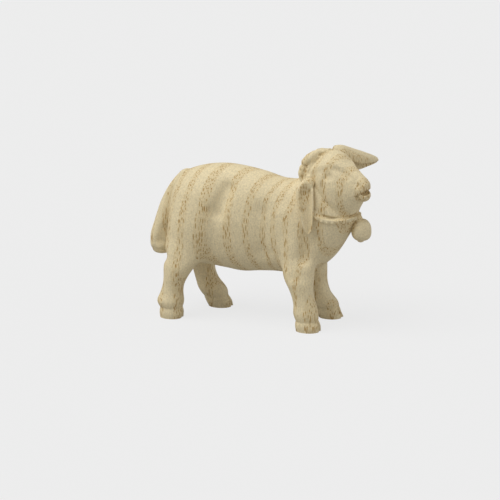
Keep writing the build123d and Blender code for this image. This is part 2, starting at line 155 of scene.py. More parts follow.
# The collar: the X that its teeth are counted round, their number, how far it stands off the neck,
# where and how far that falls away from the seat, the teeth's height, place and width, its edges
# outside the seat, its end towards the withers, its depth and the rounding of its edges
COLLAR_X = 20.0
COLLAR_TEETH = 36.0
COLLAR_SWELL = 0.50
COLLAR_FALL = 0.75
COLLAR_FALL_START = 0.5
COLLAR_FALL_SPAN = 1.5
TOOTH_HEIGHT = 0.42
TOOTH_PLACE = 1.45
TOOTH_WIDTH = 0.45
COLLAR_LOW = 0.35
COLLAR_HIGH = 2.4
COLLAR_BACK = 17.4
COLLAR_DEPTH = 1.4
COLLAR_EDGE_ROUND = 0.4
COLLAR_INNER_ROUND = 0.1
# The bell: its middle, half width, low and high, the four soft corners of its girth, and its crown
# and clapper as middle and half sizes
BELL = (31.4, 0.3, 27.25)
BELL_RADIUS = 2.78
BELL_LOW = -2.9
BELL_HIGH = 3.0
BELL_CORNER = 0.04
BELL_CORNER_TURN = 1.0
CROWN = ((-1.0, 0.0, 3.1), (1.2, 1.4, 1.2))
CLAPPER = ((-0.1, -0.2, -2.6), (1.0, 1.0, 0.8))
CLAPPER_MELT = 0.3
# Two cuts in the bell, a slit and a wider one over it: points, depth and width
BELL_MARKS = [
    ([(1.6, -2.3, 1.9), (1.9, -2.1, -1.6)], 0.30, 0.32),
    ([(-0.9, -2.4, 1.6), (0.3, -2.5, 1.9)], 0.30, 0.7),
]

dowel_low, dowel_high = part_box("tail_dowel")
SHIFT = np.array([
    -ORIGIN_SHARE * TRUNK_LENGTH - (dowel_low[0] + dowel_high[0]) / 2 / MM,
    -(dowel_low[1] + dowel_high[1]) / 2 / MM,
    0.0,
])

# One row for each station of the trunk: place along it, low, high and half width in shares
TRUNK_ROWS = [
    (-RUMP_SHARE, 0.44, 0.50, 0.03),
    (0.000, 0.36, 0.60, 0.18),
    (0.015, 0.27, 0.68, 0.38),
    (0.046, 0.15, 0.79, 0.66),
    (0.108, 0.06, 0.88, 0.86),
    (0.200, 0.03, 0.935, 0.97),
    (0.323, 0.03, 0.975, 0.98),
    (0.454, 0.015, 0.993, 0.95),
    (0.608, 0.00, 0.981, 0.98),
    (0.762, 0.022, 0.950, 1.00),
    (0.915, 0.030, 0.908, 0.97),
    (1.000, 0.020, 0.905, 0.94),
]
# One row for each section of the neck: its turn from straight down, near and far reach, half width
NECK_ROWS = [
    (0, 0.100, 1.000, 0.94),
    (20, 0.095, 0.926, 0.92),
    (40, 0.090, 0.802, 0.85),
    (60, 0.085, 0.727, 0.74),
    (78, 0.080, 0.680, 0.64),
    (95, 0.080, 0.660, 0.60),
]
# One row for each section of the face in millimetres: its place ahead of the head's centre, low,
# high, half width, and how far up it is widest
FACE_ROWS = [
    (-9.4, -3.5, 2.0, 2.2, 0.50),
    (-8.5, -6.5, 3.8, 4.6, 0.46),
    (-6.5, -8.8, 6.3, 5.6, 0.42),
    (-3.8, -9.6, 7.8, 6.0, 0.40),
    (-0.5, -9.4, 8.2, 6.1, 0.38),
    (2.0, -9.4, 7.3, 5.7, 0.38),
    (4.3, -9.2, 5.4, 4.9, 0.40),
    (6.5, -8.2, 3.9, 3.8, 0.46),
    (8.4, -5.4, 2.6, 2.8, 0.52),
    (9.8, -3.2, 1.6, 2.1, 0.52),
    (10.6, -2.0, 0.7, 1.3, 0.55),
    (10.9, -1.2, 0.1, 0.4, 0.55),
]
# One row for each section of a limb: height in leg lengths, place along the trunk, half depth,
# half width, and how far out it stands, in shares
LIMB_ROWS = {
    "right_hind_leg": (-1, [
        (0.00, 0.073, 0.96, 0.96, 1.00),
        (0.10, 0.072, 1.00, 1.00, 1.00),
        (0.22, 0.070, 0.97, 0.97, 1.00),
        (0.36, 0.064, 1.12, 1.05, 1.00),
        (0.56, 0.074, 0.96, 0.90, 1.00),
        (0.73, 0.086, 0.89, 0.86, 1.00),
        (0.92, 0.104, 1.01, 0.94, 0.99),
        (1.10, 0.123, 1.24, 1.02, 0.96),
        (1.40, 0.160, 1.65, 1.06, 0.86),
        (1.80, 0.195, 1.95, 1.04, 0.76),
        (2.30, 0.215, 1.90, 0.98, 0.64),
        (2.75, 0.215, 1.20, 0.66, 0.46),
    ]),
    "left_hind_leg": (1, [
        (0.00, 0.320, 1.02, 0.95, 1.00),
        (0.10, 0.305, 1.08, 0.98, 1.00),
        (0.22, 0.282, 1.06, 0.97, 1.00),
        (0.36, 0.257, 1.18, 1.05, 1.00),
        (0.62, 0.205, 0.98, 0.90, 1.00),
        (0.82, 0.181, 0.95, 0.88, 1.00),
        (0.98, 0.170, 1.06, 0.94, 0.99),
        (1.15, 0.168, 1.34, 1.02, 0.96),
        (1.40, 0.170, 1.65, 1.06, 0.86),
        (1.80, 0.195, 1.95, 1.04, 0.76),
        (2.30, 0.215, 1.90, 0.98, 0.64),
        (2.75, 0.215, 1.20, 0.66, 0.46),
    ]),
    "right_front_leg": (-1, [
        (0.00, 1.190, 1.04, 0.96, 1.00),
        (0.10, 1.186, 1.06, 1.00, 1.00),
        (0.23, 1.179, 0.98, 0.96, 1.00),
        (0.38, 1.170, 1.04, 1.01, 1.00),
        (0.60, 1.160, 0.95, 0.90, 1.00),
        (0.78, 1.144, 0.94, 0.88, 1.00),
        (0.95, 1.128, 1.04, 0.94, 0.99),
        (1.13, 1.112, 1.24, 1.02, 0.96),
        (1.45, 1.096, 1.40, 1.04, 0.84),
        (1.90, 1.080, 1.45, 1.00, 0.68),
        (2.35, 1.070, 1.25, 0.85, 0.50),
        (2.75, 1.070, 0.80, 0.50, 0.34),
    ]),
    "left_front_leg": (1, [
        (0.00, 1.225, 1.02, 0.95, 1.00),
        (0.10, 1.205, 1.04, 0.98, 1.00),
        (0.20, 1.196, 1.02, 0.96, 1.00),
        (0.32, 1.175, 1.10, 1.02, 1.00),
        (0.55, 1.127, 0.97, 0.90, 1.00),
        (0.78, 1.104, 0.94, 0.88, 1.00),
        (0.98, 1.096, 0.99, 0.94, 0.99),
        (1.15, 1.090, 1.10, 1.02, 0.96),
        (1.45, 1.085, 1.30, 1.04, 0.84),
        (1.90, 1.075, 1.45, 1.00, 0.68),
        (2.35, 1.070, 1.25, 0.85, 0.50),
        (2.75, 1.070, 0.80, 0.50, 0.34),
    ]),
}
# One row for each section of the tail in millimetres: its height, the place of its middle, its
# half thickness and its half width
TAIL_ROWS = [
    (15.2, -25.6, 0.3, 0.3),
    (15.6, -25.6, 1.5, 1.7),
    (17.0, -25.7, 2.6, 2.9),
    (19.8, -25.6, 3.1, 3.3),
    (25.0, -24.4, 3.0, 3.2),
    (30.5, -22.6, 3.0, 3.0),
    (36.2, -20.0, 2.4, 2.4),
    (39.5, -18.2, 1.4, 1.6),
]
# Hollows of the tail on each side, as for the body
TAIL_HOLLOWS = [
    ([(-24.6, 3.3, 19.6), (-23.8, 3.2, 22.6)], 0.60, 1.3),
    ([(-25.8, 2.9, 27.5), (-24.4, 3.1, 31.0)], 0.20, 1.6),
]


def smooth_rows(rows, samples=500):
    """Rows joined smoothly: a cubic between two rows leaves each along the line of its neighbours."""
    rows = np.array(rows, dtype=float)
    place, values = rows[:, 0], rows[:, 1:]
    slope = np.gradient(values, place, axis=0)
    fine = np.linspace(place[0], place[-1], samples)
    left = np.clip(np.searchsorted(place, fine) - 1, 0, len(place) - 2)
    gap = (place[left + 1] - place[left])[:, None]
    s = (fine[:, None] - place[left][:, None]) / gap
    start, end = values[left], values[left + 1]
    joined = ((2 * s**3 - 3 * s**2 + 1) * start + (s**3 - 2 * s**2 + s) * gap * slope[left]
              + (3 * s**2 - 2 * s**3) * end + (s**3 - s**2) * gap * slope[left + 1])
    return fine, joined


def look_up(table, place):
    """The columns of a smooth table at each place."""
    fine, values = table
    return [np.interp(place, fine, values[:, i]).astype(np.float32) for i in range(values.shape[1])]


def blend(a, b, radius):
    """Two forms melted together: the lower field, less a parabola where they are within a radius."""
    near = np.clip(1 - np.abs(a - b) / radius, 0, 1)
    return np.minimum(a, b) - near**2 * radius / 4


def trim(a, b, radius):
    """What two forms share, with the edge between them rounded over."""
    return -blend(-a, -b, radius)


def egg(across, up, half_width, low, high, waist_share, power):
    """Distance to an egg-shaped outline: its ratio field less one, divided by that field's slope."""
    waist = low + (high - low) * waist_share
    rise = np.where(up > waist, high - waist, waist - low)
    u = np.abs(across / half_width) + 1e-6
    v = np.abs((up - waist) / rise) + 1e-6
    ratio = (u**power + v**power) ** (1 / power)
    slope = np.sqrt((u ** (power - 1) / half_width) ** 2 + (v ** (power - 1) / rise) ** 2)
    return (ratio - 1) * ratio ** (power - 1) / slope


def ball(x, y, z, centre, sizes):
    """Distance to an ellipsoid, by the same ratio and slope."""
    u, v, w = ((x - centre[0]) / sizes[0], (y - centre[1]) / sizes[1], (z - centre[2]) / sizes[2])
    ratio = np.sqrt(u**2 + v**2 + w**2) + 1e-6
    slope = np.sqrt((u / sizes[0]) ** 2 + (v / sizes[1]) ** 2 + (w / sizes[2]) ** 2) / ratio + 1e-6
    return (ratio - 1) / slope


def from_line(x, y, z, start, end):
    """Distance from a straight line between two points, and how far along it the foot lies."""
    run = np.subtract(end, start)
    rest = (x - start[0]) * run[0] + (y - start[1]) * run[1] + (z - start[2]) * run[2]
    along = np.clip(rest / np.dot(run, run), 0, 1)
    gap = np.sqrt((x - start[0] - run[0] * along) ** 2 + (y - start[1] - run[1] * along) ** 2
                  + (z - start[2] - run[2] * along) ** 2)
    return gap, along


def fade(value, start, span):
    """Nothing up to a start, all a span after it, and an even slope between."""
    return np.clip((value - start) / span, 0, 1)


def hollow(x, y, z, points, depth, width):
    """A carved hollow along a chain of points: a bell-shaped dip as wide as given."""
    gap = None
    for start, end in zip(points, points[1:]):
        piece, along = from_line(x, y, z, start, end)
        gap = piece if gap is None else np.minimum(gap, piece)
    return depth * np.exp(-((gap / width) ** 2))


def with_hollows(form, x, y, z, hollows):
    """A form less its hollows, each cut on both sides alike."""
    for side in (-1, 1):
        for points, depth, width in hollows:
            mirrored = [(ahead, side * out, up) for ahead, out, up in points]
            form = form + hollow(x, y, z, mirrored, depth, width)
    return form


def head_axes(x, y, z):
    """Coordinates turned into the head's own frame: ahead, left and up of its centre."""
    turn = math.radians(HEAD_TURN)
    dx, dy = x - HEAD[0], y - HEAD[1]
    ahead = dx * math.cos(turn) - dy * math.sin(turn)
    left = dx * math.sin(turn) + dy * math.cos(turn)
    return ahead, left, z - HEAD[2]


trunk_table = smooth_rows([(math.sqrt(max(r[0] + RUMP_SHARE, 0)), *r[1:]) for r in TRUNK_ROWS])
neck_table = smooth_rows(NECK_ROWS)
face_table = smooth_rows(FACE_ROWS)
limb_tables = {name: (side, smooth_rows(rows)) for name, (side, rows) in LIMB_ROWS.items()}
tail_table = smooth_rows(TAIL_ROWS)


def torso_form(x, y, z):
    """Barrel and neck: egg sections square to the body, which open like a fan ahead of the withers.

    A barrel section is read from its table by the square root of its place, so that the rump closes
    round. A neck section is read by its turn about the pivot, and the two fields mix over a span.
    """
    along = x / TRUNK_LENGTH + ORIGIN_SHARE
    low, high, wide = look_up(trunk_table, np.sqrt(np.clip(along + RUMP_SHARE, 0, None)))
    half = TRUNK_WIDTH / 2
    barrel = egg(y, z - BELLY_HEIGHT, half * wide, TRUNK_DEPTH * low, TRUNK_DEPTH * high,
                 BODY_WAIST_SHARE, BODY_FULLNESS)
    barrel = trim(barrel, -TRUNK_LENGTH * (along + RUMP_SHARE), RUMP_ROUND)
    turn = np.degrees(np.arctan2(x - PIVOT[0], PIVOT[1] - z))
    reach = np.hypot(x - PIVOT[0], z - PIVOT[1])
    near, far, wide = look_up(neck_table, turn)
    neck = egg(y, -reach, half * wide, -NECK_REACH * far, -NECK_REACH * near,
               BODY_WAIST_SHARE, BODY_FULLNESS)
    share = np.clip((x - PIVOT[0]) / NECK_MELT + MIDDLE_SHARE, 0, 1)
    share = share * share * (3 - 2 * share)
    return barrel + (neck - barrel) * share


def limb_form(x, y, z, name):
    """One limb from its sole into the flank: oval sections stacked by height.

    A bell-shaped dip goes round it over the hoof, and another splits the toe.
    """
    side, table = limb_tables[name]
    along, deep, wide, out = look_up(table, z / LEG_LENGTH)
    centre_x = (along - ORIGIN_SHARE) * TRUNK_LENGTH
    centre_y = side * out * TRACK / 2
    form = egg(x - centre_x, y - centre_y, LEG_DEPTH / 2 * deep, -LEG_WIDTH / 2 * wide,
               LEG_WIDTH / 2 * wide, MIDDLE_SHARE, LIMB_FULLNESS)
    height, depth, width = HOOF_CREASE
    form = form + depth * np.exp(-(((z - height) / width) ** 2))
    depth, half_length, half_width, height, span = CLEFT
    toe = (centre_x + LEG_DEPTH / 2 * deep, centre_y)
    gap = np.hypot((x - toe[0]) / half_length, (y - toe[1]) / half_width)
    form = form + depth * np.exp(-gap**2) * fade(-z, -height, span)
    return trim(form, z - LIMB_TOP_SHARE * LEG_LENGTH, LIMB_TOP_ROUND)


def tail_form(x, y, z):
    """The tail: oval sections stacked by height, with the wool's soft hollows."""
    middle, thick, wide = look_up(tail_table, z)
    form = egg(x - middle, y, thick, -wide, wide, MIDDLE_SHARE, LIMB_FULLNESS)
    form = with_hollows(form, x, y, z, TAIL_HOLLOWS)
    form = trim(form, TAIL_ROWS[0][0] - z, TAIL_TIP_ROUND)
    return trim(form, z - TAIL_ROWS[-1][0], TAIL_ROOT_ROUND)


# Carved hollows of the body on each side: points along the middle, depth and width, in millimetres.
# A depth below zero is a bulge.
BODY_HOLLOWS = [
    # The haunch, the hollow before it from the back down to the flank, and the barrel's ribs
    ([(-13.0, 6.8, 33.5), (-13.8, 7.6, 25.0)], -0.50, 4.2),
    ([(-4.6, 6.6, 37.0), (-5.1, 7.0, 35.6), (-6.1, 7.8, 32.8), (-7.0, 8.2, 30.8)], 2.05, 1.8),
    ([(-7.8, 8.2, 29.0), (-8.6, 8.5, 24.5), (-8.6, 8.4, 20.5)], 0.50, 2.4),
    ([(-2.2, 7.0, 35.5), (-1.6, 8.2, 29.0)], -0.35, 3.4),
    # The flank behind the shoulder, the shoulder's ridge and the hollow before it
    ([(5.8, 8.2, 31.4), (6.4, 8.5, 28.0), (6.6, 8.5, 24.0), (6.4, 7.8, 21.0)], 1.20, 2.8),
    ([(12.2, 8.3, 32.0), (14.4, 8.5, 27.4), (15.4, 8.4, 22.4)], -0.50, 2.2),
    ([(19.8, 7.9, 26.8), (19.3, 8.0, 24.2), (18.3, 8.2, 21.0)], 1.70, 1.9),
    # Crease across the chest, and over the top of the front leg
    ([(18.0, 8.2, 19.4), (23.5, 6.4, 20.8), (27.0, 3.6, 24.0)], 0.30, 1.1),
    ([(14.8, 9.6, 14.8), (19.4, 9.4, 15.2)], 0.25, 1.5),
    # Nick under the tail over the hock
    ([(-22.4, 10.5, 16.7), (-22.4, 4.5, 16.7)], 1.50, 1.2),
    ([(-19.0, 9.4, 19.5), (-17.5, 9.6, 15.0)], -0.25, 2.0),
]
# The same for the head: ahead of its centre, out to each side and above it
FACE_HOLLOWS = [
    # Brow, the trough under it, the eye in its socket and the cheek
    ([(-4.2, 5.4, 3.3), (-1.2, 5.0, 4.7), (1.3, 3.8, 5.6), (4.6, 2.5, 4.9)], -0.30, 1.0),
    ([(2.6, 4.0, 4.1), (5.7, 2.9, 2.8), (8.0, 2.4, 1.6)], 0.36, 0.9),
    ([(1.2, 5.4, 2.1), (1.7, 5.1, 2.2)], 0.50, 0.9),
    ([(1.3, 5.2, 1.9), (1.4, 5.2, 1.9)], -0.16, 0.5),
    ([(0.9, 5.4, 3.3), (0.9, 5.3, 3.4)], 0.40, 0.35),
    ([(0.6, 5.6, 1.5), (0.6, 5.5, 1.6)], 0.35, 0.35),
    ([(-1.0, 5.6, 2.0), (-0.8, 5.7, 0.8)], -0.22, 0.9),
    ([(3.6, 5.2, -1.2), (5.6, 4.0, -2.6)], -0.28, 2.4),
    # Nostril
    ([(8.4, 2.6, 0.6), (9.0, 2.2, 0.2)], 0.48, 0.85),
    # Groove between hood and face, with pits between the locks
    ([(-5.0, 5.3, 2.2), (-4.7, 5.0, 3.4), (-4.0, 4.3, 4.8), (-3.0, 3.4, 5.9), (-2.4, 2.2, 7.0),
      (-1.8, 0.6, 8.0), (-1.7, 0.0, 8.1)], 0.75, 0.5),
    ([(-3.7, 3.9, 5.2), (-2.9, 3.3, 6.0)], 0.80, 0.45),
    ([(-3.1, 2.5, 6.9), (-2.6, 2.2, 7.0)], 0.90, 0.5),
]
# The jaw's edge from the ear down to the collar
JAW_EDGE = [
    ([(-3.6, 6.0, 0.6), (-2.6, 6.1, -1.6), (-0.9, 6.0, -3.7), (1.0, 5.6, -5.4), (2.6, 4.4, -7.2)],
     0.22, 0.7),
]
# The hood's locks: the two ends of each roll and its radius
HOOD_LOCKS = [
    ((-7.6, -4.3, 0.4), (-7.3, -4.4, 3.0), 1.25), ((-6.8, -4.1, 4.7), (-4.9, -2.8, 6.7), 1.30),
    ((-4.1, -1.9, 7.35), (-3.2, 0.0, 7.1), 1.12), ((-3.0, 1.6, 6.7), (-4.2, 3.5, 6.0), 1.10),
    ((-5.3, 4.5, 4.9), (-6.6, 4.9, 1.6), 1.20),
]


def body_form(x, y, z):
    """Torso, limbs and neck melted together, with the carver's hollows between them."""
    form = torso_form(x, y, z)
    above = (x - NECK_END[0]) * NECK_END_SLOPE[0] + (z - NECK_END[1]) * NECK_END_SLOPE[1]
    form = trim(form, above, NECK_END_ROUND)
    for name in limb_tables:
        melt = LIMB_MELT["hind" if "hind" in name else "front"]
        form = blend(form, limb_form(x, y, z, name), melt)
    return with_hollows(form, x, y, z, BODY_HOLLOWS)


def head_form(x, y, z):
    """Face, hood, eyes and lips: egg sections along the face, with lumps melted on and hollows cut.

    The muzzle ends over the open mouth, at a line that rises with the distance ahead and its
    square. The lower lip is a ball less a smaller ball, and each hood lock is a rounded bar.
    """
    ahead, left, up = head_axes(x, y, z)
    low, high, wide, waist = look_up(face_table, ahead)
    form = egg(left, up, wide, low, high, waist, FACE_FULLNESS)
    form = trim(form, np.abs(ahead - FACE_MIDDLE) - FACE_REACH, FACE_END_ROUND)
    form = with_hollows(form, ahead, left, up, FACE_HOLLOWS)
    past = np.maximum(ahead - MOUTH_CORNER, 0)
    upper_edge = MOUTH_HEIGHT + MOUTH_RISE * past + MOUTH_CURVE * past**2
    jaw_front = JAW_FRONT + JAW_STEP * fade(-up, -JAW_TOP, JAW_STEP)
    form = trim(form, -np.maximum(up - upper_edge, jaw_front - ahead), MOUTH_EDGE_ROUND)
    lip = trim(ball(ahead, left, up, *LIP), -ball(ahead, left, up, *LIP_CUP), LIP_EDGE_ROUND)
    form = blend(form, lip, HEAD_MELT)
    for start, end, radius in HOOD_LOCKS:
        gap, along = from_line(ahead, left, up, start, end)
        swell = 1 - LOCK_SWELL_SHARE * np.cos(along * LOCK_TURN)
        form = blend(form, gap - radius * swell, HEAD_MELT)
    return form


def figure(x, y, z):
    """The whole carved figure as one field in millimetres: below zero is wood.

    Body and head are melted together. The neck is drawn in under the cheeks. Behind the jaw's edge
    the wool lies deeper, with a ripple in rows along that edge, and a bell-shaped dip follows the
    round seat at the collar.
    """
    ahead, left, up = head_axes(x, y, z)
    outside = np.hypot(x - SEAT[0], z - SEAT[1]) - SEAT_RADIUS
    behind = (ahead - JAW_POINT[0]) * BEHIND_JAW[0] + (up - JAW_POINT[1]) * BEHIND_JAW[1]
    inside = fade(-outside, 0, WOOL_SEAT_SPAN)
    cheek = fade(-behind, 0, CHEEK_DEPTH) * fade(np.abs(left), CHEEK_START, CHEEK_START)
    body = body_form(x, y, z) + CHEEK_DEPTH * cheek * inside
    form = blend(body, head_form(x, y, z), HEAD_MELT)
    wool = fade(behind, 0, WOOL_SPAN) * fade(-up, -WOOL_TOP, WOOL_TOP_SPAN) * inside
    form = form + wool * (WOOL_DEPTH - WOOL_ROW_HEIGHT * np.cos(behind * WOOL_ROW_PACE))
    form = with_hollows(form, ahead, left, up, JAW_EDGE)
    depth, width = SEAT_GROOVE
    groove = depth * np.exp(-((outside / width) ** 2))
    return form + groove * fade(x, GROOVE_START, GROOVE_SPAN)


def grid(low, high, step):
    """Sample places along the three axes of a box, and the same ones ready to be combined."""
    axes = [np.arange(a, b, step, dtype=np.float32) for a, b in zip(low, high)]
    return axes, (axes[0][:, None, None], axes[1][None, :, None], axes[2][None, None, :])


def skin_of(form, low, high, step):
    """Level surface of a field on a grid of points: its corners in millimetres and its quads."""
    axes, (x, y, z) = grid(low, high, step)
    values = np.array(np.broadcast_to(form(x, y, z), [len(axis) for axis in axes]), dtype=np.float32)
    # The outermost layer is air, so that every skin is closed
    for axis in range(3):
        edge = [slice(None)] * 3
        for end in (0, -1):
            edge[axis] = end
            values[tuple(edge)] = np.maximum(values[tuple(edge)], 0.5 * step)
    volume = openvdb.FloatGrid(10.0)
    volume.copyFromArray(np.clip(values, -3 * step, 3 * step))
    points, quads = volume.convertToQuads(0.0)
    return points * step + np.array(low), quads


def normals_of(form, points, step=0.08):
    """Outward direction at each point: the field's own slope, taken across a short step."""
    x, y, z = (points[:, i].astype(np.float64) for i in range(3))
    slope = np.stack([
        form(x + step, y, z) - form(x - step, y, z),
        form(x, y + step, z) - form(x, y - step, z),
        form(x, y, z + step) - form(x, y, z - step),
    ], axis=1)
    return slope / np.maximum(np.linalg.norm(slope, axis=1, keepdims=True), 1e-9)


def to_frame(points):
    """Points of the carver's frame in millimetres as points of the row frame in metres."""
    return (points - SHIFT) * MM


def mesh_of(name, points, faces):
    """A mesh from arrays of points in the carver's frame and faces."""
    mesh = bpy.data.meshes.new(name)
    mesh.from_pydata(to_frame(np.asarray(points, dtype=float)).tolist(), [], np.asarray(faces).tolist())
    mesh.update()
    return mesh


def show(name, mesh, material, replaced=None):
    """Puts a finished piece in the scene, on the row's one body."""
    mesh.materials.clear()
    mesh.materials.append(material)
    piece = bpy.data.objects.new(name, mesh)
    bpy.context.scene.collection.objects.link(piece)
    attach(piece, "root")
    if replaced:
        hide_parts(replaced)
    return piece


def cut(mesh, origin, direction):
    """The part of a mesh behind a plane, closed with a flat face."""
    work = bmesh.new()
    work.from_mesh(mesh)
    bmesh.ops.bisect_plane(work, geom=work.verts[:] + work.edges[:] + work.faces[:], dist=1e-9,
                           plane_co=to_frame(np.array(origin, dtype=float)), plane_no=direction,
                           clear_outer=True)
    rim = [edge for edge in work.edges if edge.is_boundary]
    bmesh.ops.holes_fill(work, edges=rim, sides=0)
    part = bpy.data.meshes.new(mesh.name)
    work.to_mesh(part)
    work.free()
    return part


def keep_near(mesh, centre_x, centre_y, reach):
    """The loose piece of a mesh that stands round an upright axis."""
    work = bmesh.new()
    work.from_mesh(mesh)
    middle = to_frame(np.array([centre_x, centre_y, 0.0]))
    far = [v for v in work.verts if math.hypot(v.co.x - middle[0], v.co.y - middle[1]) > reach * MM]
    bmesh.ops.delete(work, geom=far, context="VERTS")
    part = bpy.data.meshes.new(mesh.name)
    work.to_mesh(part)
    work.free()
    return part


def seat_block():
    """A round bar across the neck, as wide as the cope that the head sits in."""
    turn = np.linspace(0, 2 * np.pi, SEAT_SIDES, endpoint=False)
    ring_x = SEAT[0] + SEAT_RADIUS * np.cos(turn)
    ring_z = SEAT[1] + SEAT_RADIUS * np.sin(turn)
    ring = np.stack([ring_x, np.zeros_like(turn), ring_z], axis=1)
    points = np.concatenate([ring - [0, SEAT_REACH, 0], ring + [0, SEAT_REACH, 0]])
    n = len(turn)
    sides = [(i, i + n, (i + 1) % n + n, (i + 1) % n) for i in range(n)]
    faces = sides + [tuple(range(n)), tuple(range(2 * n - 1, n - 1, -1))]
    mesh = bpy.data.meshes.new("seat_block")
    mesh.from_pydata(to_frame(points).tolist(), [], faces)
    work = bmesh.new()
    work.from_mesh(mesh)
    bmesh.ops.recalc_face_normals(work, faces=work.faces[:])
    work.to_mesh(mesh)
    work.free()
    block = bpy.data.objects.new("seat_block", mesh)
    bpy.context.scene.collection.objects.link(block)
    return block


def combined(mesh, block, operation):
    """A mesh less the block, or what they share."""
    holder = bpy.data.objects.new("holder", mesh)
    bpy.context.scene.collection.objects.link(holder)
    change = holder.modifiers.new("seat", "BOOLEAN")
    change.operation = operation
    change.object = block
    change.solver = "EXACT"
    result = bpy.data.meshes.new_from_object(holder.evaluated_get(bpy.context.evaluated_depsgraph_get()))
    bpy.data.objects.remove(holder)
    return result


def polish(mesh, form, seams):
    """Shades a piece by the field's slope, and its flat joints by their own faces."""
    count = len(mesh.vertices)
    points = np.empty(count * 3)
    mesh.vertices.foreach_get("co", points)
    points = points.reshape(-1, 3) / MM + SHIFT
    slopes = normals_of(form, points)
    mesh.polygons.foreach_set("use_smooth", [True] * len(mesh.polygons))
    corners = np.empty(len(mesh.loops), dtype=np.int32)
    mesh.loops.foreach_get("vertex_index", corners)
    sizes = np.empty(len(mesh.polygons), dtype=np.int32)
    mesh.polygons.foreach_get("loop_total", sizes)
    centres = np.empty(len(mesh.polygons) * 3)
    mesh.polygons.foreach_get("center", centres)
    centres = centres.reshape(-1, 3) / MM + SHIFT
    flat = np.empty(len(mesh.polygons) * 3)
    mesh.polygons.foreach_get("normal", flat)
    flat = flat.reshape(-1, 3)
    joint = np.zeros(len(mesh.polygons), dtype=bool)
    for seam in seams:
        joint |= seam(centres, flat)
    owner = np.repeat(np.arange(len(mesh.polygons)), sizes)
    normals = np.where(joint[owner][:, None], flat[owner], slopes[corners])
    mesh.normals_split_custom_set(normals.tolist())
    return mesh


# Wood

def nodes_into(tree):
    """Adds nodes to a tree: each call makes one and sets its values and links."""
    def add(kind, values=None, **links):
        node = tree.nodes.new(kind)
        for key, value in (values or {}).items():
            setattr(node, key, value)
        for key, source in links.items():
            socket = node.inputs[int(key[1:])] if key[0] == "i" and key[1:].isdigit() else node.inputs[key]
            if isinstance(source, bpy.types.NodeSocket):
                tree.links.new(source, socket)
            else:
                socket.default_value = source
        return node
    return add


def ramp(node, stops):
    """Sets a colour ramp's stops as (place, colour)."""
    elements = node.color_ramp.elements
    while len(elements) > 1:
        elements.remove(elements[-1])
    elements[0].position = stops[0][0]
    elements[0].color = stops[0][1]
    for place, colour in stops[1:]:
        element = elements.new(place)
        element.color = colour


def grey(value):
    return (value, value, value, 1)


def srgb(red, green, blue):
    """A colour given as screen values, as the linear values that a node takes."""
    screen = [value / 255 for value in (red, green, blue)]
    linear = [((value + 0.055) / 1.055) ** 2.4 if value > 0.04 else value / 12.92 for value in screen]
    return (*linear, 1)


# Places across the block, in millimetres, where a year's growth begins with a band of open pores
RING_PLACES = [-27.5, -22.8, -18.6, -14.4, -10.3, -5.9, 0.0, 5.5, 9.2, 11.9, 15.3, 18.9, 22.4, 26.2, 30.0]
RING_SPAN = 34.0
GRAIN_TURN = 31
# How far the rings wander, how coarsely, and a year's sharp start before its place, as shares
RING_SWAY = 2.2
SWAY_SCALE = 0.09
YEAR_START = 0.010
YEAR_FULL = 0.006
# Where in its fall a year's band of open pores ends
BAND_EDGE = 0.50
BAND_CORE = 0.66
# Open and fine pores: stretch along the three axes, edge, core and strength
OPEN_PORES = ((2.9, 2.9, 0.34), 0.41, 0.22, 1.0)
FINE_PORES = ((2.2, 2.2, 0.34), 0.26, 0.10, 0.30)
FIBRE_STRETCH = (2.6, 2.6, 0.45)
SPECK_SCALE = 2.4
# How light fibres and specks make the wood, at least and at most
FIBRE_RANGE = (0.93, 1.03)
SPECK_RANGE = (0.90, 1.08)
NOISE_RANGE = (0.3, 0.7)
LATE_WOOD = (229, 213, 174)
EARLY_WOOD = (221, 200, 154)
PORE_STAIN = (172, 130, 58)
EARLY_SHARE = 0.5
STAIN_SHARE = 0.88
FIBRE_HEIGHT = 0.35
PORE_HEIGHT = -1.0
RELIEF_DEPTH = 0.12
SHEEN = 0.25


def spread(add, source, reach, to=(0.0, 1.0), kind="LINEAR"):
    """Values within one reach spread over another, evenly or with soft ends."""
    node = add("ShaderNodeMapRange", {"interpolation_type": kind}, Value=source)
    for socket, value in zip(("From Min", "From Max", "To Min", "To Max"), (*reach, *to)):
        node.inputs[socket].default_value = value
    return node


def pore_points(add, place, stretch, edge, core, strength):
    """Scattered points drawn out along the grain, full within their core and gone at their edge."""
    moved = add("ShaderNodeVectorMath", {"operation": "MULTIPLY"}, i0=place.outputs[0], i1=stretch)
    cells = add("ShaderNodeTexVoronoi", {"feature": "F1"}, Vector=moved.outputs[0], Scale=1.0)
    return spread(add, cells.outputs["Distance"], (edge, core), (0.0, strength), "SMOOTHSTEP")


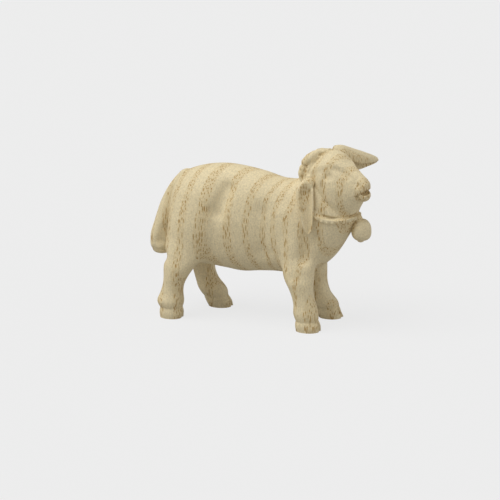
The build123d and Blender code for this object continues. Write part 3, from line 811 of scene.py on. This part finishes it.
def ash_figure():
    """Ash cut with its grain upright: bands of long open pores across the block, and fine fibres."""
    tree = bpy.data.node_groups.new("ash_figure", "ShaderNodeTree")
    tree.interface.new_socket("Place", in_out="INPUT", socket_type="NodeSocketVector")
    tree.interface.new_socket("Colour", in_out="OUTPUT", socket_type="NodeSocketColor")
    tree.interface.new_socket("Height", in_out="OUTPUT", socket_type="NodeSocketFloat")
    add = nodes_into(tree)
    enter = add("NodeGroupInput")
    # Millimetres in the carver's frame, turned so that X runs across the growth rings
    scaled = add("ShaderNodeVectorMath", {"operation": "SCALE"}, i0=enter.outputs["Place"], Scale=1 / MM)
    moved = add("ShaderNodeVectorMath", {"operation": "ADD"}, i0=scaled.outputs[0], i1=SHIFT)
    turned = add("ShaderNodeVectorRotate", {"rotation_type": "Z_AXIS"}, Vector=moved.outputs[0],
                 Angle=math.radians(GRAIN_TURN))
    # The rings wander a little
    sway = add("ShaderNodeTexNoise", None, Vector=turned.outputs[0], Scale=SWAY_SCALE, Detail=1.0)
    split = add("ShaderNodeSeparateXYZ", None, i0=turned.outputs[0])
    swayed = add("ShaderNodeMath", {"operation": "MULTIPLY_ADD"}, i0=sway.outputs[0], i1=RING_SWAY,
                 i2=split.outputs[0])
    place = spread(add, swayed.outputs[0], (RING_SWAY / 2 - RING_SPAN, RING_SWAY / 2 + RING_SPAN))
    # Each year's growth starts at full and falls to nothing at the next
    years = add("ShaderNodeValToRGB", None, i0=place.outputs[0])
    stops = []
    for spot in RING_PLACES:
        share = (spot + RING_SPAN) / (2 * RING_SPAN)
        stops += [(share - YEAR_START, grey(0.0)), (share - YEAR_FULL, grey(1.0))]
    ramp(years, stops)
    rows = spread(add, years.outputs[0], (BAND_EDGE, BAND_CORE), kind="SMOOTHSTEP")
    # Long pores: points scattered across the grain, each drawn out along it
    early = add("ShaderNodeMath", {"operation": "MULTIPLY"},
                i0=pore_points(add, turned, *OPEN_PORES).outputs[0], i1=rows.outputs[0])
    late = pore_points(add, turned, *FINE_PORES)
    pores = add("ShaderNodeMath", {"operation": "MAXIMUM"}, i0=early.outputs[0], i1=late.outputs[0])
    # Fibres, and specks between them
    drawn = add("ShaderNodeVectorMath", {"operation": "MULTIPLY"}, i0=turned.outputs[0], i1=FIBRE_STRETCH)
    fibre = add("ShaderNodeTexNoise", None, Vector=drawn.outputs[0], Scale=1.0, Detail=3.0)
    fibres = spread(add, fibre.outputs[0], NOISE_RANGE, FIBRE_RANGE)
    speck = add("ShaderNodeTexNoise", None, Vector=turned.outputs[0], Scale=SPECK_SCALE, Detail=1.0)
    specks = spread(add, speck.outputs[0], NOISE_RANGE, SPECK_RANGE)
    mottle = add("ShaderNodeMath", {"operation": "MULTIPLY"}, i0=fibres.outputs[0], i1=specks.outputs[0])
    # Colour: the early wood's tint in the rows, mottled, and stained in the pores
    part = add("ShaderNodeMath", {"operation": "MULTIPLY"}, i0=rows.outputs[0], i1=EARLY_SHARE)
    tinted = add("ShaderNodeMix", {"data_type": "RGBA"}, i0=part.outputs[0], i6=srgb(*LATE_WOOD),
                 i7=srgb(*EARLY_WOOD))
    wood = add("ShaderNodeVectorMath", {"operation": "SCALE"}, i0=tinted.outputs[2],
               Scale=mottle.outputs[0])
    shade = add("ShaderNodeMath", {"operation": "MULTIPLY"}, i0=pores.outputs[0], i1=STAIN_SHARE)
    stained = add("ShaderNodeMix", {"data_type": "RGBA"}, i0=shade.outputs[0], i6=wood.outputs[0],
                  i7=srgb(*PORE_STAIN))
    # Relief: fine fibres, with the pores sunk
    sunk = add("ShaderNodeMath", {"operation": "MULTIPLY"}, i0=pores.outputs[0], i1=PORE_HEIGHT)
    height = add("ShaderNodeMath", {"operation": "MULTIPLY_ADD"}, i0=fibre.outputs[0], i1=FIBRE_HEIGHT,
                 i2=sunk.outputs[0])
    add("NodeGroupOutput", None, Colour=stained.outputs[2], Height=height.outputs[0])
    return tree


figure_group = ash_figure()


def wood_material(name, roughness, relief):
    """Bare sanded wood: the ash figure drives its colour and a fine relief."""
    material = bpy.data.materials.new(name)
    material.use_nodes = True
    tree = material.node_tree
    shader = tree.nodes["Principled BSDF"]
    add = nodes_into(tree)
    where = add("ShaderNodeTexCoord")
    figure_node = add("ShaderNodeGroup")
    figure_node.node_tree = figure_group
    tree.links.new(where.outputs["Object"], figure_node.inputs["Place"])
    bump = add("ShaderNodeBump", None, Height=figure_node.outputs["Height"], Strength=relief,
               Distance=RELIEF_DEPTH * MM)
    tree.links.new(figure_node.outputs["Colour"], shader.inputs["Base Color"])
    tree.links.new(bump.outputs[0], shader.inputs["Normal"])
    shader.inputs["Roughness"].default_value = roughness
    shader.inputs["Specular IOR Level"].default_value = SHEEN
    return material


ash = wood_material("carved_ash", roughness=0.62, relief=0.5)
beech = wood_material("turned_beech", roughness=0.55, relief=0.2)

# The carved body, parted at the flat glue faces and at the head's round seat
body_points, body_quads = skin_of(figure, *BODY_BOX)
body_mesh = mesh_of("body", body_points, body_quads)
body_mesh = cut(body_mesh, (0, 0, 0), (0, 0, -1))
upper = cut(body_mesh, (0, 0, LEG_LENGTH), (0, 0, -1))
lower = cut(body_mesh, (0, 0, LEG_LENGTH), (0, 0, 1))
block = seat_block()
trunk_mesh = combined(upper, block, "DIFFERENCE")
head_points, head_quads = skin_of(figure, *HEAD_BOX)
head_mesh = combined(mesh_of("head_block", head_points, head_quads), block, "INTERSECT")
bpy.data.objects.remove(block)


def on_seat(centres, flat):
    """Faces that lie in the head's round seat."""
    ring = np.hypot(centres[:, 0] - SEAT[0], centres[:, 2] - SEAT[1])
    return (np.abs(ring - SEAT_RADIUS) < SEAT_NEAR) & (np.abs(flat[:, 1]) < SEAT_NEAR)


def on_glue_face(centres, flat):
    """Faces that lie in a leg's flat glue face or on the floor."""
    level = np.minimum(np.abs(centres[:, 2] - LEG_LENGTH), np.abs(centres[:, 2]))
    return (level < GLUE_NEAR) & (np.abs(flat[:, 2]) > 1 - GLUE_NEAR)


show("trunk_carving", polish(trunk_mesh, figure, (on_seat, on_glue_face)), ash, replaced="trunk")
show("head_carving", polish(head_mesh, figure, (on_seat,)), ash, replaced="head")
# A lower leg's axis lies midway between its rows over the hoof and at the glue face
for name, (side, rows) in LIMB_ROWS.items():
    foot_x = (rows[2][1] + rows[7][1] - 2 * ORIGIN_SHARE) / 2 * TRUNK_LENGTH
    leg = keep_near(lower, foot_x, side * TRACK / 2, LEG_KEEP)
    show(name + "_carving", polish(leg, figure, (on_glue_face,)), ash, replaced=name)

tail_points, tail_quads = skin_of(tail_form, *TAIL_BOX)
show("tail_carving", polish(mesh_of("tail", tail_points, tail_quads), tail_form, ()), ash, replaced="tail")


# Ears, as surfaces of two parameters

def spline_points(points, places):
    """Points on a smooth line through given points, at shares of its length in rows."""
    rows = np.array([(i / (len(points) - 1), *p) for i, p in enumerate(points)])
    table = smooth_rows(rows, 200)
    return np.stack(look_up(table, places), axis=1).astype(float)


def head_to_body(points):
    """Points of the head's own frame as points of the carver's frame."""
    turn = math.radians(HEAD_TURN)
    ahead, left, up = points[:, 0], points[:, 1], points[:, 2]
    return np.stack([HEAD[0] + ahead * math.cos(turn) + left * math.sin(turn),
                     HEAD[1] - ahead * math.sin(turn) + left * math.cos(turn), HEAD[2] + up], axis=1)


def tube_faces(rings, sides):
    """Quads between neighbouring rings, and a fan at each end."""
    i = np.arange(rings - 1)[:, None] * sides
    j = np.arange(sides)[None, :]
    k = (j + 1) % sides
    quads = np.stack([i + j, i + k, i + sides + k, i + sides + j], axis=-1).reshape(-1, 4).tolist()
    start, end = rings * sides, rings * sides + 1
    last = (rings - 1) * sides
    fans = [(start, (s + 1) % sides, s) for s in range(sides)]
    fans += [(end, last + s, last + (s + 1) % sides) for s in range(sides)]
    return quads + fans


def loop_of(section, places):
    """A closed section joined smoothly through its points."""
    loop = np.array(section + section[:1], dtype=float)
    rows = np.column_stack([np.linspace(0, 1, len(loop)), loop])
    rows = np.vstack([rows[-3:-1] - [1, 0, 0], rows, rows[1:3] + [1, 0, 0]])
    return look_up(smooth_rows(rows, 800), places)


def ear(name, line, leaf, root, section, face, node):
    """An ear: a section carried along a smooth middle line and scaled by the leaf's rows.

    It has the root's section at first and the open one from two fifths of the way on.
    """
    s = np.linspace(0, 1, EAR_RINGS)
    centre = spline_points(line, s)
    tangent = np.gradient(centre, axis=0)
    tangent /= np.linalg.norm(tangent, axis=1, keepdims=True)
    across = np.cross(tangent, np.array(face, dtype=float))
    across /= np.linalg.norm(across, axis=1, keepdims=True)
    out = np.cross(across, tangent)
    wide, thick = look_up(smooth_rows(leaf), s)
    t = np.linspace(0, 1, EAR_SIDES, endpoint=False)
    shut = np.clip(ROOT_SHUT - s[:, None] * ROOT_OPENING, 0, 1)
    side_share, depth_share = (shut * full[None, :] + (1 - shut) * open_part[None, :]
                               for full, open_part in zip(loop_of(root, t), loop_of(section, t)))
    points = (centre[:, None, :] + across[:, None, :] * (wide[:, None] * side_share)[..., None]
              + out[:, None, :] * (thick[:, None] * depth_share)[..., None]).reshape(-1, 3)
    points = np.vstack([points, centre[0], centre[-1]])
    mesh = bpy.data.meshes.new(name)
    mesh.from_pydata(to_frame(points).tolist(), [], tube_faces(EAR_RINGS, EAR_SIDES))
    work = bmesh.new()
    work.from_mesh(mesh)
    bmesh.ops.recalc_face_normals(work, faces=work.faces[:])
    work.to_mesh(mesh)
    work.free()
    mesh.polygons.foreach_set("use_smooth", [True] * len(mesh.polygons))
    return show(name, mesh, ash, replaced=node)


# Middle line of each ear from root to tip, and its half width and half thickness along it. The root's
# section and the open one are shares across the half width and through the half thickness, with the
# hollow side above zero. The right ear lies in the body's frame, the left one in the head's.
RIGHT_EAR_LINE = [
    (19.2, -4.9, 41.2), (18.5, -6.5, 40.2), (18.1, -7.4, 38.1), (18.6, -8.1, 34.8), (19.2, -8.6, 30.6),
    (19.6, -8.9, 27.5),
]
RIGHT_LEAF = [
    (0.0, 1.0, 0.9), (0.1, 1.45, 1.0), (0.2, 1.9, 1.1), (0.4, 2.35, 1.15), (0.6, 2.15, 1.05),
    (0.7, 1.9, 1.0), (0.8, 1.55, 0.9), (0.92, 1.05, 0.7), (0.97, 0.72, 0.5), (1.0, 0.2, 0.15),
]
RIGHT_ROOT = [
    (1.0, 0.0), (0.95, 0.3), (0.85, 0.5), (0.7, 0.7), (0.52, 0.82), (0.30, 0.92), (0.0, 0.95),
    (-0.3, 0.92), (-0.55, 0.8), (-0.70, 0.68), (-0.80, 0.55), (-0.92, 0.35), (-1.0, 0.0),
    (-0.85, -0.5), (-0.4, -0.92), (0.2, -1.0), (0.75, -0.68),
]
RIGHT_SECTION = [
    (1.0, -0.1), (0.97, 0.35), (0.84, 0.72), (0.66, 0.72), (0.52, 0.40), (0.30, 0.0), (0.0, -0.2),
    (-0.3, -0.32), (-0.55, -0.25), (-0.72, 0.2), (-0.80, 0.58), (-0.92, 0.55), (-1.0, 0.1),
    (-0.85, -0.5), (-0.4, -0.92), (0.2, -1.0), (0.75, -0.68),
]
LEFT_EAR_LINE = [
    (-1.9, 3.0, 5.6), (-1.6, 4.5, 5.35), (-1.3, 6.0, 4.8), (-0.7, 9.0, 3.33), (-0.1, 12.5, 2.3),
    (0.3, 16.0, 1.7), (0.8, 18.0, 1.42), (1.05, 18.8, 1.35),
]
LEFT_LEAF = [
    (0.0, 2.7, 2.7), (0.143, 2.8, 2.8), (0.286, 2.82, 2.82), (0.429, 2.93, 2.93), (0.571, 2.55, 2.55),
    (0.714, 1.7, 1.7), (0.857, 0.95, 0.95), (0.94, 0.6, 0.6), (1.0, 0.15, 0.15),
]
LEFT_SECTION = [
    (-0.72, 0.10), (-0.62, -0.47), (-0.08, -1.0), (0.41, -0.95), (0.70, -0.35), (0.70, 0.39),
    (0.60, 1.0), (0.38, 0.98), (0.42, 0.45), (0.36, -0.15), (0.05, -0.52), (-0.22, -0.42),
    (-0.48, 0.08),
]
# Where each ear's hollow side faces
RIGHT_FACE = (0.35, -1, 0.1)
LEFT_FACE = (0.0, 0.0, -1.0)
left_line = head_to_body(np.array(LEFT_EAR_LINE)).tolist()
ear("right_ear_carving", RIGHT_EAR_LINE, RIGHT_LEAF, RIGHT_ROOT, RIGHT_SECTION, RIGHT_FACE, "right_ear")
ear("left_ear_carving", left_line, LEFT_LEAF, LEFT_SECTION, LEFT_SECTION, LEFT_FACE, "left_ear")


# Collar and bell

def collar_form(x, y, z):
    """A band on the neck under the cope: the neck grown a little, with locks along its lower edge.

    It thins away down from the seat by the square of the distance, and its teeth are a cosine round
    the neck under a bell-shaped rise.
    """
    ring = np.hypot(x - SEAT[0], z - SEAT[1]) - SEAT_RADIUS
    tooth = 0.5 + 0.5 * np.cos(np.arctan2(y, x - COLLAR_X) * COLLAR_TEETH)
    swell = COLLAR_SWELL - COLLAR_FALL * fade(ring, COLLAR_FALL_START, COLLAR_FALL_SPAN) ** 2
    swell = swell + TOOTH_HEIGHT * tooth * np.exp(-(((ring - TOOTH_PLACE) / TOOTH_WIDTH) ** 2))
    skin = figure(x, y, z) - swell
    form = trim(skin, np.maximum(ring - COLLAR_HIGH, COLLAR_LOW - ring), COLLAR_EDGE_ROUND)
    form = trim(form, COLLAR_BACK - x, COLLAR_EDGE_ROUND)
    return trim(form, -skin - COLLAR_DEPTH, COLLAR_INNER_ROUND)


collar_points, collar_quads = skin_of(collar_form, *COLLAR_BOX)
show("collar_carving", polish(mesh_of("collar", collar_points, collar_quads), collar_form, ()), ash,
     replaced="collar")


def bell_form(x, y, z):
    """The bell: a rounded block with a slit, a crown knob on the collar and a clapper below.

    Its girth swells four times round by a cosine of the turn.
    """
    ahead, left, up = x - BELL[0], y - BELL[1], z - BELL[2]
    turn = np.arctan2(left, ahead)
    girth = 1 + BELL_CORNER * np.cos(4 * turn + BELL_CORNER_TURN)
    form = egg(np.hypot(ahead, left) / girth, up, BELL_RADIUS, BELL_LOW, BELL_HIGH,
               BELL_WAIST_SHARE, BELL_FULLNESS)
    form = blend(form, ball(ahead, left, up, *CROWN), BELL_MELT)
    form = blend(form, ball(ahead, left, up, *CLAPPER), CLAPPER_MELT)
    for points, depth, width in BELL_MARKS:
        form = form + hollow(ahead, left, up, points, depth, width)
    return form


bell_points, bell_quads = skin_of(bell_form, *BELL_BOX)
show("bell_carving", polish(mesh_of("bell", bell_points, bell_quads), bell_form, ()), ash, replaced="bell")

for name in ("neck_dowel", "tail_dowel", "leg_dowels", "bell_peg"):
    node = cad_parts[name]
    node.data.materials.clear()
    node.data.materials.append(beech)

# Studio

PAPER = srgb(236, 236, 236)
PAPER_GREY = 0.46
PAPER_GLOW = 1.12
CAMERA_SHARE = 0.8
ROOM_STRENGTH = 0.35
FLOOR_REACH = 4.0
# Lamps: name, strength, width, azimuth and elevation in degrees
SUNS = [
    ("overhead_light", 2.1, 50, -50, 60),
    ("right_light", 0.80, 90, 100, 10),
]
# Where the photo was taken from: azimuth and elevation in degrees, millimetres in a pixel and to the
# camera, the pixel that shows the origin, and the photo's width in pixels
AZIMUTH = 20.3
ELEVATION = 16.1
PIXEL = 0.27
DISTANCE = 3000.0
MIDDLE_PIXEL = (251.2, 316.1)
PHOTO_WIDTH = 500
FILM_WIDTH = 36
FAR_END = 20


def paper_material():
    """Pale matt paper that shows its own colour to the camera, with part of the shadow kept."""
    material = bpy.data.materials.new("pale_paper")
    material.use_nodes = True
    tree = material.node_tree
    tree.nodes.clear()
    add = nodes_into(tree)
    diffuse = add("ShaderNodeBsdfDiffuse", None, Color=grey(PAPER_GREY))
    glow = add("ShaderNodeEmission", None, Color=PAPER, Strength=PAPER_GLOW)
    path = add("ShaderNodeLightPath")
    part = add("ShaderNodeMath", {"operation": "MULTIPLY"}, i0=path.outputs["Is Camera Ray"],
               i1=CAMERA_SHARE)
    mix = add("ShaderNodeMixShader", None, i0=part.outputs[0], i1=diffuse.outputs[0], i2=glow.outputs[0])
    add("ShaderNodeOutputMaterial", None, Surface=mix.outputs[0])
    return material


def floor_piece():
    """A wide level sheet under the hooves."""
    size = FLOOR_REACH
    corners = [(-size, -size, 0), (size, -size, 0), (size, size, 0), (-size, size, 0)]
    mesh = bpy.data.meshes.new("floor")
    mesh.from_pydata(corners, [], [(0, 1, 2, 3)])
    mesh.materials.append(paper_material())
    floor = bpy.data.objects.new("floor", mesh)
    bpy.context.scene.collection.objects.link(floor)


def soft_room():
    """Even light from all round, with the paper's own colour behind the figure."""
    world = bpy.data.worlds.new("soft_room")
    world.use_nodes = True
    tree = world.node_tree
    tree.nodes.clear()
    add = nodes_into(tree)
    room = add("ShaderNodeBackground", None, Color=grey(1.0), Strength=ROOM_STRENGTH)
    plain = add("ShaderNodeBackground", None, Color=PAPER, Strength=1.0)
    path = add("ShaderNodeLightPath")
    either = add("ShaderNodeMixShader", None, i0=path.outputs["Is Camera Ray"], i1=room.outputs[0],
                 i2=plain.outputs[0])
    add("ShaderNodeOutputWorld", None, Surface=either.outputs[0])
    return world


def sun(name, strength, spread, azimuth, elevation):
    """A broad distant lamp that shines from an azimuth and elevation."""
    lamp = bpy.data.lights.new(name, "SUN")
    lamp.energy = strength
    lamp.angle = math.radians(spread)
    piece = bpy.data.objects.new(name, lamp)
    scene.collection.objects.link(piece)
    piece.rotation_euler = (math.radians(90 - elevation), 0, math.radians(azimuth))


floor_piece()
scene = bpy.context.scene
scene.world = soft_room()
for values in SUNS:
    sun(*values)

turn, lift = math.radians(AZIMUTH), math.radians(ELEVATION)
right = np.array([math.cos(turn), math.sin(turn), 0])
upward = np.array([-math.sin(turn) * math.sin(lift), math.cos(turn) * math.sin(lift), math.cos(lift)])
back = np.array([math.sin(turn) * math.cos(lift), -math.cos(turn) * math.cos(lift), math.sin(lift)])
middle = PHOTO_WIDTH / 2
target = right * (middle - MIDDLE_PIXEL[0]) * PIXEL + upward * (MIDDLE_PIXEL[1] - middle) * PIXEL
lens = bpy.data.cameras.new("camera")
lens.sensor_width = FILM_WIDTH
lens.lens = FILM_WIDTH * DISTANCE / (PHOTO_WIDTH * PIXEL)
camera = bpy.data.objects.new("camera", lens)
scene.collection.objects.link(camera)
camera.location = to_frame(target + back * DISTANCE)
camera.rotation_euler = (math.radians(90 - ELEVATION), 0, math.radians(AZIMUTH))
lens.clip_end = FAR_END
scene.camera = camera
scene.view_settings.view_transform = "Standard"
